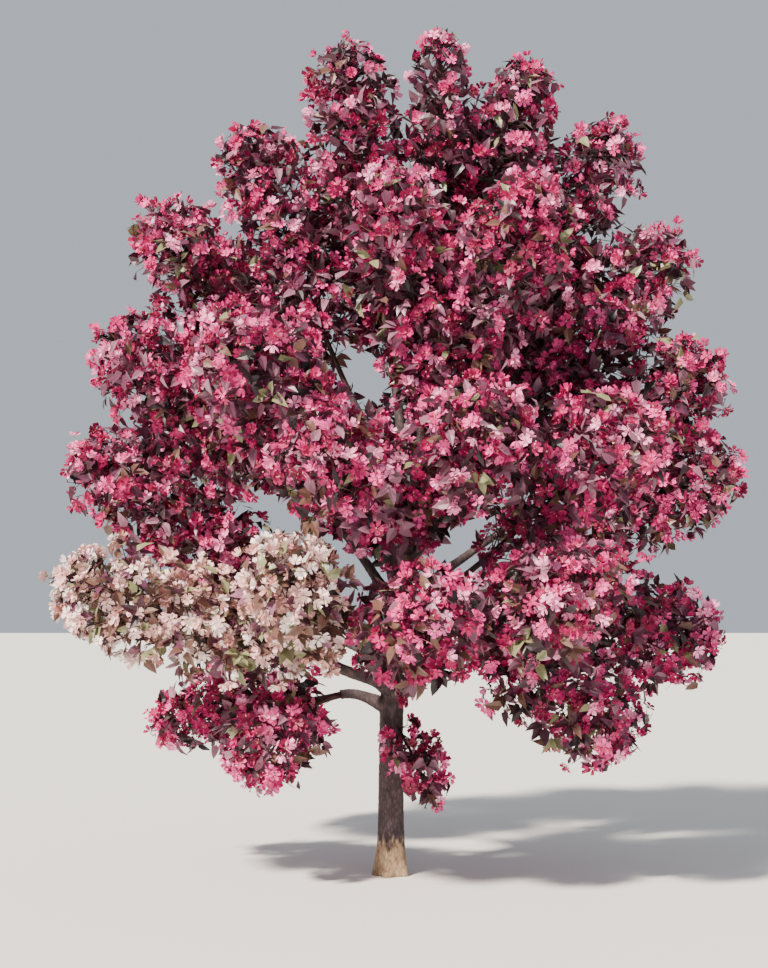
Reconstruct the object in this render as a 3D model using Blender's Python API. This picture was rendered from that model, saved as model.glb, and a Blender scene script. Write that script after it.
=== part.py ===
# A purple-leaved crabapple tree in blossom: trunk, boughs and masses of leaf and blossom.
# Metres, +Z up. The origin is the middle of the flat cut under the trunk, at ground level.
# Someone who looks at the tree's front looks along +Y and has +X on the right.

import math
import random

import bmesh
import bpy
import numpy as np
from mathutils import Vector
from mathutils.bvhtree import BVHTree

# Trunk
TRUNK_TOP = (0.085, 0.012, 1.60)  # where the trunk forks into the leaders
TRUNK_RADIUS = 0.055  # above the root flare
FORK_RADIUS = 0.036  # at the top of the trunk
FLARE_RADIUS = 0.074  # at the flat cut
FLARE_HEIGHT = 0.09
FLARE_LOBES = 5  # roots that show as swellings round the foot
TRUNK_SIDES = 12
TRUNK_RINGS = 12

# Gap between solids that touch
CONTACT_GAP = 0.0003
MERGE_DISTANCE = 0.00002  # corners nearer than this become one after fusing

# Spaces of the masses
SPACE_MARGIN = 0.07  # share of a girth that stays free on each side of a border
LIMB_CLEARANCE = 0.018
STEM_SAMPLES = 33
WIDEST_SHARE = 0.55  # where along its stem a mass is widest
FOOT_FULLNESS = 0.35  # a mass's width at its foot, as a share of its girth
TIP_FULLNESS = 0.15

# Sprays: each leaf and blossom here stands for a spray of real ones
LEAF_LENGTH = 0.255
LEAF_WIDTH_SHARE = 0.54
LEAF_THICKNESS_SHARE = 0.05
LEAF_FOLD_SHARE = 0.10
BLOSSOM_RADIUS = 0.095
BLOSSOM_HEIGHT = 0.070
PETALS = 5
SMALLEST_SHARE = 0.55  # a spray that only fits smaller than this is left out

# Stems and cores
STEM_RADIUS = 0.0085
STEM_TIP_RADIUS = 0.005
CORE_SHARE = 0.50  # a core's radius as a share of its mass's
CORE_RANGE = (0.24, 0.82)  # from where to where along the stem
CORE_SIDES = 5
CORE_RINGS = 4

# Growth: places follow each other round the stem by the golden angle, and what grows at each
# comes in turn from this list
PLACE_SPACING = 0.084
TRIES = 4  # turns tried at a place before it stays bare
PLACE_RANGE = (0.14, 0.98)
GOLDEN_ANGLE = math.radians(137.5)
AT_PLACES = ("leaf", "twig", "blossom", "leaf", "twig", "leaf")
TWIG_RADIUS = 0.0062
TWIG_TIP_RADIUS = 0.0038
TWIG_REACH = (0.58, 0.70)  # as a share of the mass's width there
RISE = math.radians(40)  # angle between what grows out and the stem's cross-section
ROOT_DEPTH = 0.006  # how far a leaf's root lies inside the end of its twig
ROOT_SHARE = 0.55  # how far from a core's middle a root lies, as a share of its radius
# What a twig bears: where along it, to which side it leans, and what it is
TWIG_BEARS = ((1.0, 0.0, "leaf"), (0.88, -0.9, "leaf"), (0.74, 0.9, "leaf"))
SEED = 41

# Boughs: what each grows from, where it leaves it (a height on the trunk in metres, or a share
# of another bough's length), its tip, and its radius at both ends
BOUGHS = {
    "leader_left": ("trunk", 1.42, (0.02, 0.06, 2.04), 0.028, 0.020),
    "leader_centre": ("trunk", None, (0.17, 0.04, 2.02), FORK_RADIUS, 0.021),
    "leader_right": ("trunk", 1.37, (0.29, 0.01, 1.94), 0.028, 0.014),
    "upper_left": ("leader_left", 0.34, (-0.17, -0.01, 2.00), 0.018, 0.013),
    "upper_right": ("leader_right", 0.42, (0.43, 0.05, 1.90), 0.018, 0.013),
    "left_shoulder": ("trunk", 1.30, (-0.30, 0.09, 1.84), 0.024, 0.013),
    "left_flank": ("trunk", 1.10, (-0.31, -0.02, 1.54), 0.025, 0.013),
    "left_front": ("trunk", 1.19, (-0.11, -0.21, 1.50), 0.023, 0.013),
    "upper_front": ("trunk", 1.31, (0.13, -0.18, 1.74), 0.025, 0.021),
    "right_shoulder": ("trunk", 1.27, (0.52, 0.06, 1.76), 0.025, 0.013),
    "right_flank": ("trunk", 1.10, (0.56, 0.00, 1.50), 0.025, 0.013),
    "right_front": ("trunk", 1.02, (0.31, -0.22, 1.25), 0.024, 0.013),
    "centre": ("trunk", 1.07, (0.07, -0.24, 1.34), 0.024, 0.021),
    "left_low": ("trunk", 0.92, (-0.36, 0.07, 1.15), 0.027, 0.014),
    "pale": ("trunk", 0.76, (-0.23, -0.27, 0.88), 0.029, 0.021),
    "low_left": ("trunk", 0.69, (-0.21, -0.02, 0.745), 0.024, 0.020),
    "right_tip": ("trunk", 0.95, (0.60, 0.00, 1.27), 0.026, 0.013),
    "right_low": ("trunk", 0.80, (0.45, 0.05, 0.98), 0.027, 0.014),
    "bottom_right": ("trunk", 0.72, (0.29, -0.17, 0.91), 0.026, 0.021),
    "back_left": ("trunk", 1.20, (-0.17, 0.27, 1.66), 0.026, 0.021),
    "back_right": ("trunk", 1.11, (0.26, 0.28, 1.64), 0.026, 0.021),
    "back_centre": ("trunk", 0.98, (0.04, 0.28, 1.25), 0.024, 0.014),
    "back_low_left": ("trunk", 0.84, (-0.26, 0.25, 0.97), 0.025, 0.014),
    "back_low_right": ("trunk", 0.87, (0.28, 0.27, 0.99), 0.025, 0.014),
}

# Boughs that press against the middle leader just above the fork
BESIDE_FORK = ("leader_left", "leader_right")

# Masses: what each grows from, where (a height on the trunk, or None at a bough's tip), the
# furthest tip, the girth, how far the stem bows up (or down where negative), and the blossom
MASSES = {
    "top_left": ("leader_left", None, (-0.20, -0.10, 3.49), 0.28, 0.00, "wine"),
    "top_centre": ("leader_centre", None, (0.21, -0.24, 3.50), 0.19, 0.00, "wine"),
    "back_top": ("leader_centre", None, (0.36, 0.42, 3.30), 0.31, 0.06, "wine"),
    "back_high_left": ("leader_left", None, (-0.22, 0.58, 3.10), 0.33, 0.06, "wine"),
    "top_right": ("leader_right", None, (0.59, -0.06, 3.42), 0.26, 0.04, "wine"),
    "upper_right": ("upper_right", None, (0.98, 0.12, 3.20), 0.26, 0.03, "wine"),
    "upper_front_right": ("upper_front", None, (0.62, -0.58, 2.78), 0.28, 0.05, "wine"),
    "upper_front": ("upper_front", None, (0.00, -0.56, 2.84), 0.28, 0.05, "wine"),
    "upper_left": ("upper_left", None, (-0.64, 0.10, 3.16), 0.29, 0.05, "wine"),
    "left_shoulder": ("left_shoulder", None, (-1.04, 0.08, 2.82), 0.29, -0.05, "wine"),
    "left_flank": ("left_flank", None, (-1.20, -0.10, 2.25), 0.31, 0.02, "wine"),
    "left_front": ("left_front", None, (-0.66, -0.96, 2.13), 0.32, 0.05, "wine"),
    "right_shoulder": ("right_shoulder", None, (1.21, 0.05, 2.71), 0.28, -0.04, "wine"),
    "right_flank": ("right_flank", None, (1.36, -0.05, 2.15), 0.30, 0.02, "wine"),
    "right_front": ("right_front", None, (0.96, -0.86, 1.80), 0.32, 0.06, "wine"),
    "centre": ("centre", None, (0.40, -1.10, 1.84), 0.30, 0.04, "wine"),
    "centre_left": ("centre", None, (-0.31, -1.12, 1.68), 0.31, 0.04, "wine"),
    "left_low": ("left_low", None, (-1.33, 0.00, 1.79), 0.31, -0.06, "wine"),
    "pale_inner": ("pale", None, (-0.40, -1.10, 1.26), 0.27, 0.04, "pale"),
    "pale_outer": ("pale", None, (-1.29, -0.60, 1.24), 0.29, -0.05, "pale"),
    "low_left": ("low_left", None, (-1.03, 0.24, 0.57), 0.20, 0.08, "wine"),
    "bottom_left": ("low_left", None, (-0.58, -0.50, 0.46), 0.23, 0.07, "wine"),
    "right_tip": ("right_tip", None, (1.45, 0.00, 1.73), 0.27, 0.02, "wine"),
    "right_low": ("right_low", None, (1.38, 0.05, 0.97), 0.31, 0.03, "wine"),
    "right_front_low": ("bottom_right", None, (0.76, -1.00, 1.22), 0.29, 0.05, "wine"),
    "bottom_right": ("bottom_right", None, (0.96, -0.36, 0.56), 0.28, 0.07, "wine"),
    "front_low": ("trunk", 0.90, (0.15, -1.08, 1.08), 0.30, 0.05, "wine"),
    "trunk_spray": ("trunk", 0.66, (0.17, -0.30, 0.32), 0.12, 0.06, "wine"),
    "back_upper_left": ("back_left", None, (-0.74, 0.66, 2.70), 0.38, 0.05, "wine"),
    "back_left": ("back_left", None, (-1.06, 0.74, 1.95), 0.40, 0.02, "wine"),
    "back_upper_right": ("back_right", None, (0.80, 0.66, 2.68), 0.38, 0.05, "wine"),
    "back_right": ("back_right", None, (1.12, 0.72, 1.92), 0.40, 0.02, "wine"),
    "back_centre": ("back_centre", None, (0.05, 1.25, 1.95), 0.43, 0.00, "wine"),
    "back_low_left": ("back_low_left", None, (-0.86, 0.92, 1.02), 0.38, 0.06, "wine"),
    "back_low_right": ("back_low_right", None, (0.86, 0.94, 1.06), 0.38, 0.06, "wine"),
}

# Colours as linear red, green and blue, with a roughness
FINISHES = {
    "bark": ((0.105, 0.080, 0.065), 0.85),
    "leaf": ((0.065, 0.018, 0.026), 0.45),
    "wine": ((0.520, 0.025, 0.130), 0.55),
    "pale": ((0.800, 0.420, 0.430), 0.55),
}


# Curves


def bezier(ends, count):
    """Evenly numbered points on a cubic curve through its four control points."""
    a, b, c, d = (np.array(p, float) for p in ends)
    t = np.linspace(0, 1, count)[:, None]
    return (1 - t) ** 3 * a + 3 * t * (1 - t) ** 2 * b + 3 * t**2 * (1 - t) * c + t**3 * d


def unit(v):
    return np.array(v, float) / max(np.linalg.norm(v), 1e-12)


def jitter(rng, most):
    return np.array([rng.uniform(-most, most) for _ in range(3)])


def tangents(points):
    steps = np.gradient(points, axis=0)
    return steps / np.linalg.norm(steps, axis=1)[:, None]


def place_on(points, share):
    """The point at a share of the way along a curve."""
    step = share * (len(points) - 1)
    low = min(int(step), len(points) - 2)
    return points[low] + (points[low + 1] - points[low]) * (step - low)


def across(direction, turn=0.0):
    """Two unit vectors square to a direction, turned about it."""
    first = unit(np.cross(direction, (0.31, 0.17, 0.93)))
    second = np.cross(direction, first)
    return (
        first * math.cos(turn) + second * math.sin(turn),
        second * math.cos(turn) - first * math.sin(turn),
    )


def trunk_path(count):
    top = np.array(TRUNK_TOP)
    return bezier(((0, 0, 0), (0, 0, 0.5), top - (0.10, -0.01, 0.55), top), count)


def trunk_radius(height):
    share = height / TRUNK_TOP[2]
    body = TRUNK_RADIUS + (FORK_RADIUS - TRUNK_RADIUS) * share**1.3
    return body + (FLARE_RADIUS - TRUNK_RADIUS) * math.exp(-((height / FLARE_HEIGHT) ** 1.5))


# Skeleton


def foot_of(parent, leaves, limbs):
    """The point on a parent's axis where a limb starts, and the parent's direction there."""
    axis = limbs[parent]["points"]
    if leaves is None:
        nearest = len(axis) - 1
    elif parent == "trunk":
        nearest = int(np.argmin(abs(axis[:, 2] - leaves)))
    else:
        nearest = round(leaves * (len(axis) - 1))
    return axis[nearest], tangents(axis)[nearest]


def mass_directions(name, start):
    """Unit directions from a bough's tip to the tips of the masses that it carries."""
    return [unit(np.array(m[2]) - start) for m in MASSES.values() if m[0] == name and m[1] is None]


def make_skeleton():
    """The axis and radii of the trunk and of each bough, by name."""
    points = trunk_path(60)
    limbs = {"trunk": {"points": points, "radii": np.array([trunk_radius(z) for z in points[:, 2]])}}
    for name, (parent, leaves, tip, base_radius, tip_radius) in BOUGHS.items():
        start, along = foot_of(parent, leaves, limbs)
        tip = np.array(tip)
        length = np.linalg.norm(tip - start)
        out = unit(tip - start)
        first = along if leaves is None else unit(out + 0.15 * along)
        last = unit(sum(mass_directions(name, tip)) + 0.5 * out)
        points = bezier((start, start + first * length / 3, tip - last * length / 3, tip), 40)
        shares = np.linspace(0, 1, len(points))
        limbs[name] = {
            "points": points,
            "radii": tip_radius + (base_radius - tip_radius) * (1 - shares) ** 1.2,
            "parent": parent,
            "on_top": leaves is None,
        }
    return limbs


def make_stems(limbs):
    """The axis of each mass's stem. Two stems that share a bough's tip start side by side."""
    stems = {}
    for name, (parent, leaves, tip, girth, bow, _) in MASSES.items():
        start, along = foot_of(parent, leaves, limbs)
        tip = np.array(tip)
        if leaves is None:
            start = start + along * CONTACT_GAP
            mates = [n for n, m in MASSES.items() if m[0] == parent and m[1] is None]
            if len(mates) == 2:
                aside = np.array(MASSES[mates[0]][2]) - np.array(MASSES[mates[1]][2])
                aside = unit(aside - along * np.dot(aside, along))
                start = start + aside * (STEM_RADIUS + 0.001) * (1 if mates[0] == name else -1)
        else:
            along = unit(tip - start)
        length = np.linalg.norm(tip - start)
        middle = (start + 2 * tip) / 3 + np.array((0, 0, bow))
        points = bezier((start, start + along * length * 0.28, middle, tip), STEM_SAMPLES)
        stems[name] = {"points": points, "girth": girth, "along": along, "length": length}
    return stems


def fullness(share):
    """A mass's half-width at a share of its stem, as a share of its girth."""
    share = np.asarray(share, float)
    swell = FOOT_FULLNESS + (1 - FOOT_FULLNESS) * np.sin(math.pi / 2 * share / WIDEST_SHARE)
    past = np.clip((share - WIDEST_SHARE) / (1 - WIDEST_SHARE), 0, 1)
    close = TIP_FULLNESS + (1 - TIP_FULLNESS) * np.sqrt(1 - past**2)
    return np.where(share < WIDEST_SHARE, swell, close)


class Crown:
    """Who may be where: the stems with their girths, and the limbs."""

    def __init__(self, limbs, stems):
        self.names = list(stems)
        self.axes = np.array([stems[n]["points"] for n in self.names])
        self.girths = np.array([stems[n]["girth"] for n in self.names])
        self.limb_points = np.concatenate([limb["points"] for limb in limbs.values()])
        self.limb_radii = np.concatenate([limb["radii"] for limb in limbs.values()])

    def distances(self, points):
        """Each point's distance from each stem as a share of its girth, and its place on it."""
        gaps = np.linalg.norm(points[:, None, None, :] - self.axes[None], axis=3)
        return gaps.min(axis=2), gaps.argmin(axis=2) / (STEM_SAMPLES - 1)

    def own(self, name, points, margin=SPACE_MARGIN):
        """True for points nearer to this mass's stem than to any other, counted in girths."""
        index = self.names.index(name)
        gaps, _ = self.distances(np.atleast_2d(points))
        shares = gaps / self.girths
        others = np.delete(shares, index, axis=1).min(axis=1)
        return shares[:, index] + margin < others

    def within(self, name, points):
        index = self.names.index(name)
        gaps, places = self.distances(np.atleast_2d(points))
        reach = self.girths[index] * fullness(places[:, index])
        return gaps[:, index] <= reach

    def clear(self, points, radius=0.0):
        """True for points clear of the trunk and of each bough."""
        gaps = np.linalg.norm(np.atleast_2d(points)[:, None] - self.limb_points[None], axis=2)
        return (gaps - self.limb_radii[None]).min(axis=1) > LIMB_CLEARANCE + radius

    def keeps(self, name, points):
        return bool((self.own(name, points) & self.within(name, points) & self.clear(points)).all())


# Small closed solids, each as a list of points and a list of faces


def tube(points, directions, radii, sides, swell=None):
    """A closed tube round an axis, with a ring square to each direction. swell gives each
    ring's points their own radii."""
    side, _ = across(directions[0])
    verts, faces = [], []
    for i, (centre, direction) in enumerate(zip(points, directions)):
        side = unit(side - direction * np.dot(side, direction))
        up = np.cross(direction, side)
        for k in range(sides):
            angle = 2 * math.pi * k / sides
            radius = radii[i] * (swell(i, angle) if swell else 1)
            verts.append(centre + (side * math.cos(angle) + up * math.sin(angle)) * radius)
    for i in range(len(points) - 1):
        for k in range(sides):
            low, high = i * sides, (i + 1) * sides
            after = (k + 1) % sides
            faces.append((low + k, low + after, high + after, high + k))
    faces.append(tuple(reversed(range(sides))))
    faces.append(tuple(range((len(points) - 1) * sides, len(points) * sides)))
    return verts, faces


def leaf(root, along, facing, length):
    """A pointed leaf of six faces: folded along its midrib below, with a ridge above it."""
    along = unit(along)
    side = unit(np.cross(facing, along))
    up = np.cross(along, side)
    middle = root + along * length * 0.45
    half = side * length * LEAF_WIDTH_SHARE / 2
    fold = up * length * LEAF_FOLD_SHARE
    ridge = middle + up * length * LEAF_THICKNESS_SHARE
    verts = [root, middle + half + fold, root + along * length, middle - half + fold, ridge]
    faces = [(0, 4, 3), (3, 4, 2), (2, 4, 1), (1, 4, 0), (0, 3, 2), (0, 2, 1)]
    return verts, faces


def blossom(root, along, size, turn):
    """An open blossom: a cup whose rim has five rounded petals, with its root at the point."""
    along = unit(along)
    side, up = across(along, turn)
    verts = [root, root + along * BLOSSOM_HEIGHT * size * 0.62]
    rim = 2 * PETALS
    for k in range(rim):
        petal = k % 2 == 0
        angle = 2 * math.pi * k / rim
        reach = BLOSSOM_RADIUS * size * (1.0 if petal else 0.58)
        lift = BLOSSOM_HEIGHT * size * (1.0 if petal else 0.9)
        verts.append(root + along * lift + (side * math.cos(angle) + up * math.sin(angle)) * reach)
    faces = []
    for k in range(rim):
        here, after = 2 + k, 2 + (k + 1) % rim
        faces.append((0, after, here))
        faces.append((1, here, after))
    return verts, faces


def core_radius(crown, name, point, share, girth):
    """How wide a mass's dense inside may be at one place, clear of limbs and of other masses."""
    radius = CORE_SHARE * girth * float(fullness(share))
    gaps = np.linalg.norm(crown.limb_points - point, axis=1) - crown.limb_radii
    radius = min(radius, gaps.min() - LIMB_CLEARANCE)
    index = crown.names.index(name)
    distances, _ = crown.distances(point[None])
    others = np.delete(distances[0] / crown.girths, index).min()
    return min(radius, 0.8 * girth * others / (1 + others))


def stem_rings(crown, name, stem, rng):
    """Where a stem's rings lie, and their radii. It swells into a core where it can."""
    last = 1 - 0.75 * LEAF_LENGTH / stem["length"]
    shares = [0.0, CORE_RANGE[0] - 0.1]
    radii = [STEM_RADIUS, STEM_RADIUS * 0.9]
    for share in np.linspace(*CORE_RANGE, CORE_RINGS):
        full = core_radius(crown, name, place_on(stem["points"], share), share, stem["girth"])
        shares.append(min(share, last - 0.06))
        radii.append(max(full * rng.uniform(0.75, 1.0), STEM_RADIUS * 0.8))
    return shares + [last], radii + [STEM_TIP_RADIUS]


def stem_solid(stem, shares, radii, rng):
    axis = np.array([place_on(stem["points"], share) for share in shares])
    directions = [unit(place_on(tangents(stem["points"]), share)) for share in shares]
    directions[0] = stem["along"]
    lumps = [[rng.uniform(0.62, 1.0) for _ in range(CORE_SIDES)] for _ in shares]

    def swell(ring, angle):
        dense = 2 <= ring < 2 + CORE_RINGS
        return lumps[ring][round(angle * CORE_SIDES / (2 * math.pi)) % CORE_SIDES] if dense else 1

    return tube(axis, directions, radii, CORE_SIDES, swell)


# Growth rule of a mass


def grow(crown, name, stem, rng):
    """The pieces of one mass: its stem, a leaf at its tip, and what grows at its places."""
    shares, radii = stem_rings(crown, name, stem, rng)
    pieces = [("stem", stem_solid(stem, shares, radii, rng))]
    heading = unit(stem["points"][-1] - place_on(stem["points"], shares[-1]))
    root = place_on(stem["points"], shares[-1]) - heading * ROOT_DEPTH
    length = np.linalg.norm(stem["points"][-1] - root)
    pieces.append(("leaf", leaf(root, heading, (0.2, -0.3, 1), length)))
    count = round(stem["length"] / PLACE_SPACING)
    turn = rng.uniform(0, 2 * math.pi)
    taken = []
    for k in range(count):
        share = PLACE_RANGE[0] + (PLACE_RANGE[1] - PLACE_RANGE[0]) * (k + rng.random()) / count
        share = min(share, shares[-1] - 0.01)
        for _ in range(TRIES):
            turn += GOLDEN_ANGLE
            place = Place(stem, share, turn, float(np.interp(share, shares, radii)))
            if grow_at(crown, name, AT_PLACES[k % len(AT_PLACES)], place, rng, pieces, taken):
                break
    return pieces


def grow_at(crown, name, kind, place, rng, pieces, taken):
    """Whether what should grow at a place has found room there."""
    if kind == "twig":
        return grow_twig(crown, name, place, rng, pieces, taken)
    along = unit(place.heading + jitter(rng, 0.2))
    facing = place.side + jitter(rng, 0.7)
    return put_spray(crown, name, kind, place.root, along, facing, rng, pieces, taken)


class Place:
    """A place on a stem where something grows: its root well inside, and which way it heads."""

    def __init__(self, stem, share, turn, radius):
        direction = unit(place_on(tangents(stem["points"]), share))
        self.side, _ = across(direction, turn)
        self.root = place_on(stem["points"], share) + self.side * (radius * ROOT_SHARE)
        self.heading = unit(self.side * math.cos(RISE) + direction * math.sin(RISE) + (0, 0, 0.12))
        self.width = stem["girth"] * float(fullness(share))


def grow_twig(crown, name, place, rng, pieces, taken):
    """One twig with its leaves, cut back until it fits. One that bears nothing is left out."""
    reach = place.width * rng.uniform(*TWIG_REACH)
    while reach > 0.07:
        along = place.root + np.outer(np.linspace(0.35, 1, 5), place.heading * reach)
        if crown.keeps(name, along):
            break
        reach *= 0.86
    else:
        return False
    end = place.root + place.heading * reach
    flank = unit(np.cross(place.heading, place.side))
    borne = []
    for share, lean, kind in TWIG_BEARS:
        root = place.root + place.heading * (reach - ROOT_DEPTH) * share
        along = unit(place.heading + flank * lean + jitter(rng, 0.2))
        facing = place.side + jitter(rng, 0.7) + (0, 0, 0.4)
        put_spray(crown, name, kind, root, along, facing, rng, borne, taken)
    if borne:
        axis = np.array([place.root, end])
        directions = (place.heading, place.heading)
        pieces.append(("twig", tube(axis, directions, (TWIG_RADIUS, TWIG_TIP_RADIUS), 3)))
        pieces.extend(borne)
    return bool(borne)


def put_spray(crown, name, kind, root, along, facing, rng, pieces, taken):
    """A leaf or a blossom, tried smaller until it keeps to the mass's space and crosses no
    other, or left out."""
    size = rng.uniform(0.9, 1.12)
    turn = rng.uniform(0, 1)
    while size > SMALLEST_SHARE:
        if kind == "leaf":
            solid = leaf(root, along, facing, LEAF_LENGTH * size)
        else:
            solid = blossom(root, along, size, turn)
        verts = np.array(solid[0][1:])
        test = np.concatenate([verts, (verts + np.roll(verts, 1, axis=0)) / 2])
        shape = BVHTree.FromPolygons([Vector(v) for v in solid[0]], solid[1])
        if crown.keeps(name, test) and not any(shape.overlap(other) for other in taken):
            taken.append(shape)
            pieces.append((kind, solid))
            return True
        size *= 0.88
    return False


# Blender objects


def material(name):
    colour, roughness = FINISHES[name]
    made = bpy.data.materials.get(name) or bpy.data.materials.new(name)
    made.use_nodes = True
    shader = made.node_tree.nodes["Principled BSDF"]
    shader.inputs["Base Color"].default_value = (*colour, 1)
    shader.inputs["Roughness"].default_value = roughness
    shader.inputs["Metallic"].default_value = 0.0
    made.diffuse_color = (*colour, 1)
    return made


def mesh_object(name, solid, finish, collection=None):
    verts, faces = solid
    mesh = bpy.data.meshes.new(name)
    mesh.from_pydata([tuple(map(float, v)) for v in verts], [], faces)
    mesh.materials.append(material(finish))
    mesh.update()
    made = bpy.data.objects.new(name, mesh)
    (collection or bpy.context.scene.collection).objects.link(made)
    return made


def apply_boolean(target, operation, cutter=None, collection=None):
    change = target.modifiers.new("Boolean", "BOOLEAN")
    change.operation = operation
    change.solver = "EXACT"
    if collection:
        change.operand_type = "COLLECTION"
        change.collection = collection
    else:
        change.object = cutter
    graph = bpy.context.evaluated_depsgraph_get()
    result = bpy.data.meshes.new_from_object(target.evaluated_get(graph))
    target.modifiers.clear()
    target.data = result


def keep_one_body(target):
    """Drops loose scraps, and fills hollows that fusing sealed by dropping their inner walls.
    Says whether what is left is closed."""
    shape = bmesh.new()
    shape.from_mesh(target.data)
    bmesh.ops.triangulate(shape, faces=shape.faces)
    bmesh.ops.remove_doubles(shape, verts=shape.verts, dist=MERGE_DISTANCE)
    bmesh.ops.dissolve_degenerate(shape, edges=shape.edges, dist=MERGE_DISTANCE)
    bmesh.ops.triangulate(shape, faces=shape.faces)
    groups, seen = [], set()
    for first in shape.verts:
        if first in seen:
            continue
        group, queue = [], [first]
        seen.add(first)
        while queue:
            vert = queue.pop()
            group.append(vert)
            for edge in vert.link_edges:
                other = edge.other_vert(vert)
                if other not in seen:
                    seen.add(other)
                    queue.append(other)
        groups.append(group)
    groups.sort(key=len)
    for group in groups[:-1]:
        bmesh.ops.delete(shape, geom=group, context="VERTS")
    closed = all(len(edge.link_faces) == 2 for edge in shape.edges)
    shape.to_mesh(target.data)
    shape.free()
    return closed


def limb_solid(limb, sides, rings, grow_by=0.0):
    """A limb as a closed tube. A cutter for its neighbours is grown."""
    points, radii = limb["points"], limb["radii"]
    picks = np.linspace(0, len(points) - 1, rings).round().astype(int)
    grown = radii[picks] + grow_by / math.cos(math.pi / sides)
    return tube(points[picks], tangents(points)[picks], grown, sides)


def trunk_solid(grow_by=0.0):
    """The trunk with its root flare. The lowest ring lies in the ground plane. A cutter for the
    boughs is grown, and also reaches that much past the top."""
    low = [FLARE_HEIGHT * s for s in (0.0, 0.3, 0.7, 1.2, 2.0)]
    heights = low + list(np.linspace(2.0 * FLARE_HEIGHT, TRUNK_TOP[2], TRUNK_RINGS - 4)[1:])
    path = trunk_path(200)
    picks = [int(np.argmin(abs(path[:, 2] - z))) for z in heights]
    radii = [trunk_radius(z) + grow_by / math.cos(math.pi / TRUNK_SIDES) for z in heights]

    def swell(ring, angle):
        fade = math.exp(-heights[ring] / FLARE_HEIGHT)
        return 1 + 0.13 * fade * math.cos(FLARE_LOBES * angle + 0.6)

    axis, directions = path[picks], tangents(path)[picks]
    axis[-1] += directions[-1] * grow_by
    verts, faces = tube(axis, directions, radii, TRUNK_SIDES, swell)
    for vert in verts[:TRUNK_SIDES]:
        vert[2] = 0.0
    return verts, faces


def bough_shape(name):
    """Sides and rings of a bough's tube: the leaders are rounder."""
    return (8, 6) if name.startswith("leader") else (6, 5)


def cut_clear(target, parent, limbs):
    """Cuts a limb or a mass back from its parent, so that it meets it with a small gap."""
    if parent == "trunk":
        grown = trunk_solid(CONTACT_GAP)
    else:
        grown = limb_solid(limbs[parent], *bough_shape(parent), CONTACT_GAP)
    cutter = mesh_object("cutter", grown, "bark")
    apply_boolean(target, "DIFFERENCE", cutter=cutter)
    bpy.data.objects.remove(cutter)
    return keep_one_body(target)


def make_boughs(limbs):
    for name, (parent, leaves, *_) in BOUGHS.items():
        limb = dict(limbs[name])
        if leaves is None:
            limb["points"] = limb["points"] + tangents(limb["points"])[0] * CONTACT_GAP
        made = mesh_object(f"bough_{name}", limb_solid(limb, *bough_shape(name)), "bark")
        if leaves is not None:
            cut_clear(made, parent, limbs)
        if name in BESIDE_FORK:
            cut_clear(made, "leader_centre", limbs)
        made.data.shade_smooth()


def fuse(name, pieces, tint):
    """One object from the pieces of a mass. The core's faces are leaf and blossom by turns."""
    finish = {"twig": "bark", "leaf": "leaf", "blossom": tint}
    made = mesh_object(name, pieces[0][1], "bark")
    for kind in ("leaf", tint):
        made.data.materials.append(material(kind))
    for number in range(CORE_SIDES, CORE_SIDES * (2 + CORE_RINGS)):
        made.data.polygons[number].material_index = 1 if number % 3 == 0 else 2
    others = bpy.data.collections.new("pieces")
    bpy.context.scene.collection.children.link(others)
    for kind, solid in pieces[1:]:
        mesh_object(kind, solid, finish[kind], others)
    apply_boolean(made, "UNION", collection=others)
    for other in list(others.objects):
        bpy.data.objects.remove(other)
    bpy.data.collections.remove(others)
    return made


def make_mass(crown, name, stem, limbs, seed):
    """One mass as one solid. Where fusing leaves it open it is grown again by another seed,
    and from the fifth time on with fewer leaves."""
    parent, leaves, *_, tint = MASSES[name]
    for attempt in range(8):
        rng = random.Random(seed + 1000 * attempt)
        pieces = grow(crown, name, stem, rng)
        if attempt > 3:
            pieces = [piece for k, piece in enumerate(pieces) if piece[0] != "leaf" or k % 4]
        made = fuse(f"mass_{name}", pieces, tint)
        closed = keep_one_body(made)
        if closed and leaves is not None:
            closed = cut_clear(made, parent, limbs)
        if closed:
            return
        print(name, "was not closed, so it is grown again")
        bpy.data.objects.remove(made)


def main():
    for old in list(bpy.data.objects):
        bpy.data.objects.remove(old)
    limbs = make_skeleton()
    stems = make_stems(limbs)
    crown = Crown(limbs, stems)
    trunk = mesh_object("trunk", trunk_solid(), "bark")
    trunk.data.shade_smooth()
    make_boughs(limbs)
    for number, name in enumerate(MASSES):
        make_mass(crown, name, stems[name], limbs, SEED + number)


main()
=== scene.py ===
import math

import bpy
import numpy as np
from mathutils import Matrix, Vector, noise


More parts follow.
